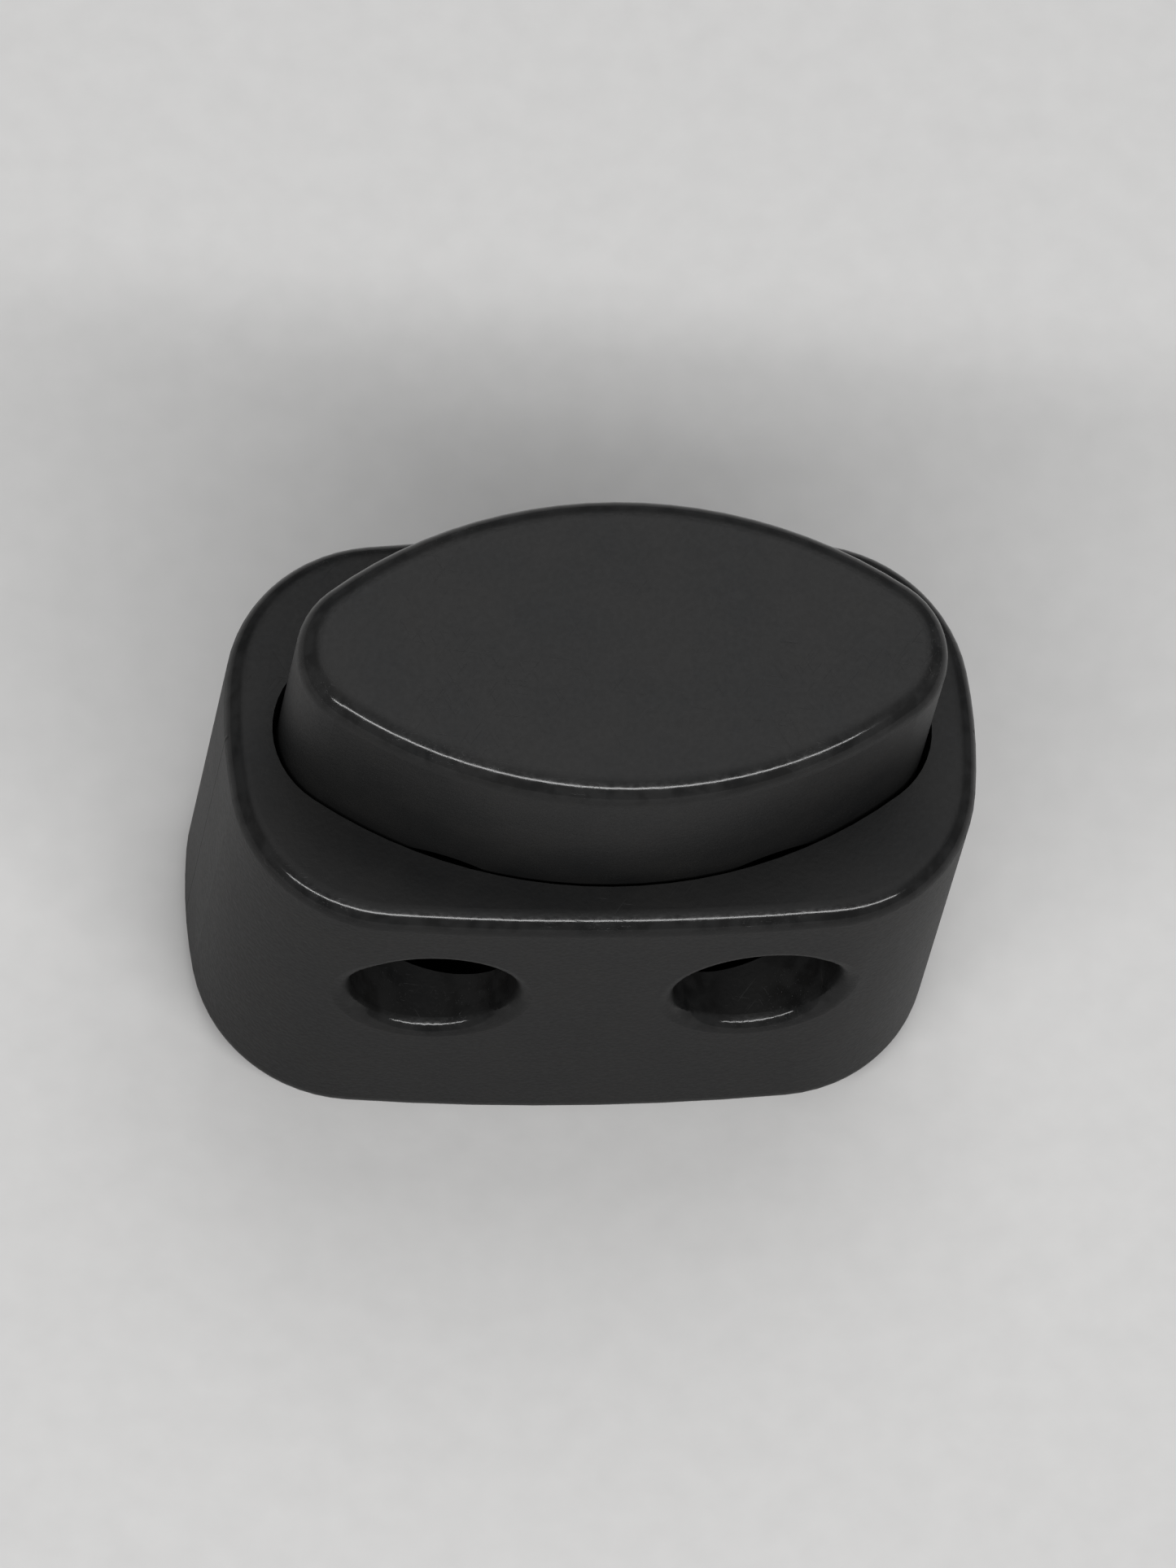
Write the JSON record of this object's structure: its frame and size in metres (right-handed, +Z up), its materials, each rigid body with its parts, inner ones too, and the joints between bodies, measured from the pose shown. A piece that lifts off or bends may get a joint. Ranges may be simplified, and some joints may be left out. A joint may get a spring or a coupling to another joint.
{
  "type": "cord lock",
  "caption": "Oval push-button cord lock: a sprung button in a barrel with a pair of cross holes grips two shock cords side by side, and frees them when pressed.",
  "frame": {"origin": "middle of the flat base that the lock stands on", "axes": "+X from one cord hole to the other, +Y along the cords, +Z up the press axis, out of the button's top"},
  "size_m": [0.018, 0.0104, 0.016],
  "materials": {
    "barrel_plastic": "moulded acetal, fine satin skin",
    "button_plastic": "moulded acetal, satin, glossier on top",
    "spring_steel": "drawn stainless spring wire"
  },
  "bodies": {
    "barrel": {"barrel": "barrel_plastic", "spring": "spring_steel"},
    "button": {"button": "button_plastic"}
  },
  "joints": [
    {"name": "press", "type": "slide", "parent": "barrel", "child": "button", "axis": [0, 0, -1], "range_m": [0, 0.00235], "stiffness_N_per_m": 1600, "springref_m": -0.003, "deforming": ["spring"]}
  ]
}
